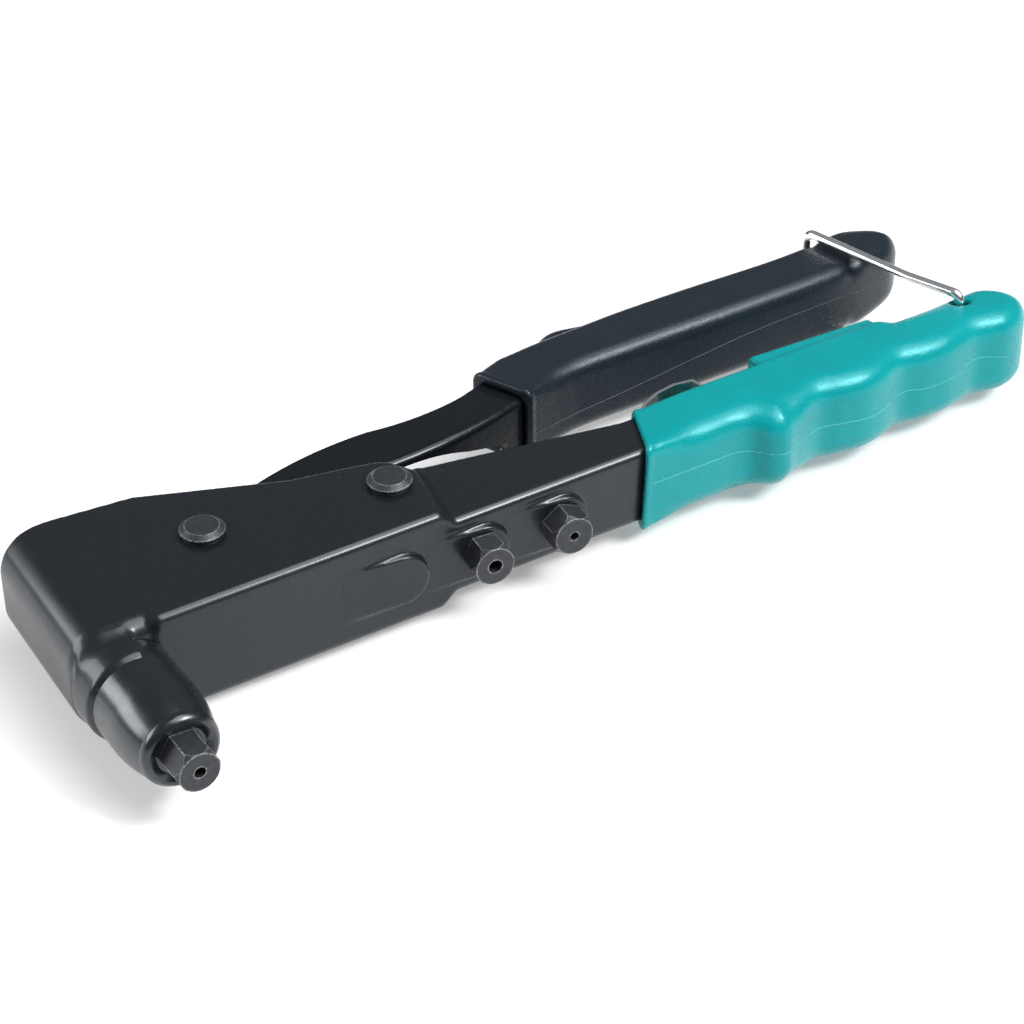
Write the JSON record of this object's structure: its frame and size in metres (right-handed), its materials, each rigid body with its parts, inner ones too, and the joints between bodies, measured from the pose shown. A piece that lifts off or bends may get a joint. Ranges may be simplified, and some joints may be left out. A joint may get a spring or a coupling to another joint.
{
  "type": "hand riveter",
  "caption": "Long-handled hand riveter with a pressed black body, a compound lever, padded grips, a wire handle latch and spare nosepieces screwed into the body.",
  "frame": {"origin": "centre of the fitted nosepiece's front face, on the mandrel's axis", "axes": "+X runs from the nose towards the ends of the handles; -Y is the way the rivet points; +Z is along the two lever pins, up as the tool lies on its side"},
  "size_m": [0.2794, 0.1034, 0.0334],
  "materials": {
    "body_enamel": "satin black baked enamel over pressed steel",
    "barrel_black": "semi-gloss black over turned steel",
    "dark_phosphate": "dark phosphated and oiled steel",
    "lever_black": "black enamel over forged-looking pressed steel, slightly pebbled",
    "bare_steel": "bare machined steel, oiled",
    "jaw_steel": "hardened tool steel, dark",
    "spring_steel": "drawn spring wire",
    "bush_bronze": "sintered bronze",
    "grip_teal": "dipped vinyl with a fine grain",
    "grip_slate": "dipped vinyl with a fine grain",
    "nickel_wire": "bright nickel-plated wire",
    "nickel_strip": "nickel-plated spring strip"
  },
  "bodies": {
    "body": {"body_frame": "body_enamel", "nose_barrel": "barrel_black", "nosepiece_fitted": "dark_phosphate", "nosepiece_spare_large": "dark_phosphate", "nosepiece_spare_small": "dark_phosphate", "fulcrum_pin": "dark_phosphate", "pull_lever_pin": "dark_phosphate", "fulcrum_washers": "bare_steel", "pull_lever_spacers": "bare_steel", "body_grip": "grip_teal", "bumper_leaf": "nickel_strip"},
    "lever": {"handle_lever": "lever_black", "lever_grip": "grip_slate", "drive_pin": "bare_steel", "drive_pin_clips": "spring_steel"},
    "pull_lever": {"pull_lever": "lever_black", "pull_lever_bush": "bush_bronze"},
    "jaw_head": {"jaw_case": "bare_steel", "draw_sleeve": "bare_steel", "jaw_pusher": "bare_steel", "lock_nut": "bare_steel", "jaws": "jaw_steel", "jaw_spring": "spring_steel"},
    "bail": {"latch_bail": "nickel_wire"}
  },
  "joints": [
    {"name": "lever_open", "type": "hinge", "parent": "body", "child": "lever", "pos_m": [0.0329, 0.0612, 0], "axis": [0, 0, 1], "range_deg": [0, 42], "deforming": ["latch_bail"]},
    {"name": "pull_lever_turn", "type": "hinge", "parent": "body", "child": "pull_lever", "pos_m": [0.0798, 0.0548, 0], "axis": [0, 0, 1], "range_deg": [0, 7.4]},
    {"name": "jaw_slide", "type": "slide", "parent": "body", "child": "jaw_head", "axis": [0, -1, 0], "range_m": [0, 0.0103]},
    {"name": "bail_swing", "type": "hinge", "parent": "body", "child": "bail", "pos_m": [0.25, 0.0481, 0], "axis": [0, 0, -1], "range_deg": [0, 116]}
  ],
  "couplings": [
    {"joint": "pull_lever_turn", "follows": "lever_open", "ratio": 0.174},
    {"joint": "jaw_slide", "follows": "lever_open", "m_per_rad": 0.0139},
    {"joint": "bail_swing", "follows": "lever_open", "ratio": 2.738}
  ]
}
